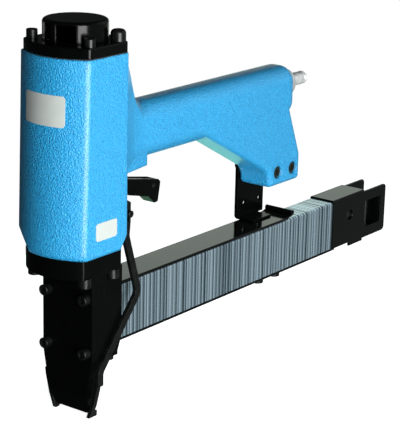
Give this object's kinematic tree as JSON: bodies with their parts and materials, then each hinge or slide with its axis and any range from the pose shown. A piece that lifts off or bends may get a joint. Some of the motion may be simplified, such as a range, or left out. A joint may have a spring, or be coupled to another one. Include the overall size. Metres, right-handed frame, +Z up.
{
  "type": "pneumatic staple tacker",
  "caption": "Pneumatic staple tacker: cast barrel and pistol handle, driver nose with contact foot, trigger with safety lever, and a long rail magazine with wide crown staples",
  "frame": {"origin": "middle of the staple outlet at the tip of the nose, on the driver's axis", "axes": "+X runs back from the nose along the magazine, +Y to the tool's right, +Z up the cylinder"},
  "size_m": [0.4707, 0.0672, 0.308],
  "materials": {
    "blue_paint": "hammered gloss",
    "black_paint": "gloss",
    "black_steel": "black oxide",
    "staple_wire": "drawn galvanised wire",
    "bright_steel": "polished",
    "machined_aluminium": "turned",
    "rail_steel": "rolled",
    "spring_steel": "blued",
    "brass_valve": "turned",
    "rubber_seal": "matte",
    "ring_plastic": "matte"
  },
  "bodies": {
    "frame": {"housing": "blue_paint", "cap": "black_paint", "exhaust_hood": "black_paint", "nose_frame": "black_paint", "guide_plate": "black_paint", "front_plate": "black_paint", "magazine_cover": "black_paint", "magazine_bracket": "black_paint", "base_strip": "black_paint", "rail_clamp": "black_paint", "cap_front_screws": "black_steel", "cap_rear_screws": "black_steel", "plate_screws": "black_steel", "flange_screws": "black_steel", "clamp_bolts": "black_steel", "base_bolts": "black_steel", "leg_screws": "black_steel", "arm_screw": "black_steel", "trigger_pin": "black_steel", "leg_nuts": "black_steel", "staple_sticks": "staple_wire", "plug_nipple": "bright_steel", "base_washers": "bright_steel", "inlet_bushing": "machined_aluminium", "cylinder_sleeve": "machined_aluminium", "magazine_rail": "rail_steel", "rail_bars": "rail_steel", "head_valve_spring": "spring_steel", "stem_spring": "spring_steel", "contact_spring": "spring_steel", "trigger_valve": "brass_valve", "bumper": "rubber_seal", "sleeve_seals": "rubber_seal", "cap_gasket": "rubber_seal"},
    "driver": {"piston": "machined_aluminium", "piston_ring": "ring_plastic", "driver_blade": "bright_steel"},
    "head_valve": {"head_valve": "machined_aluminium"},
    "valve_stem": {"valve_stem": "brass_valve"},
    "trigger": {"trigger": "black_paint", "lever_pin": "black_steel"},
    "safety_lever": {"safety_lever": "black_steel"},
    "contact_arm": {"contact_arm": "black_steel"},
    "pusher": {"pusher": "black_paint", "roll_pin": "bright_steel", "feed_band": "spring_steel"},
    "spring_roll": {"spring_roll": "spring_steel"}
  },
  "joints": [
    {"name": "driver_stroke", "type": "slide", "parent": "frame", "child": "driver", "axis": [0, 0, -1], "range_m": [0, 0.096]},
    {"name": "head_valve_lift", "type": "slide", "parent": "frame", "child": "head_valve", "axis": [0, 0, 1], "range_m": [0, 0.004], "stiffness_N_per_m": 1500, "springref_m": -0.004, "deforming": ["head_valve_spring"]},
    {"name": "trigger_pull", "type": "hinge", "parent": "frame", "child": "trigger", "pos_m": [0.044, 0, 0.1725], "axis": [0, -1, 0], "range_deg": [0, 11], "stiffness_Nm_per_rad": 0.2, "springref_deg": -17.19},
    {"name": "valve_stem_lift", "type": "slide", "parent": "frame", "child": "valve_stem", "axis": [0, 0, 1], "range_m": [0, 0.0023], "deforming": ["stem_spring"]},
    {"name": "safety_lever_tilt", "type": "hinge", "parent": "trigger", "child": "safety_lever", "pos_m": [0.0875, 0, 0.1613], "axis": [0, 1, 0], "range_deg": [0, 5.5]},
    {"name": "contact_arm_lift", "type": "slide", "parent": "frame", "child": "contact_arm", "axis": [0, 0, 1], "range_m": [0, 0.005], "stiffness_N_per_m": 800, "springref_m": -0.008, "deforming": ["contact_spring"]},
    {"name": "pusher_draw", "type": "slide", "parent": "frame", "child": "pusher", "axis": [1, 0, 0], "range_m": [0, 0.04], "stiffness_N_per_m": 20, "springref_m": -0.4},
    {"name": "spring_roll_turn", "type": "hinge", "parent": "pusher", "child": "spring_roll", "pos_m": [0.4057, 0, 0.0695], "axis": [0, 0, 1], "range_deg": [0, 285]}
  ],
  "couplings": [
    {"joint": "valve_stem_lift", "follows": "trigger_pull", "m_per_rad": 0.011459},
    {"joint": "safety_lever_tilt", "follows": "contact_arm_lift", "rad_per_m": 19},
    {"joint": "spring_roll_turn", "follows": "pusher_draw", "rad_per_m": 121.9}
  ]
}
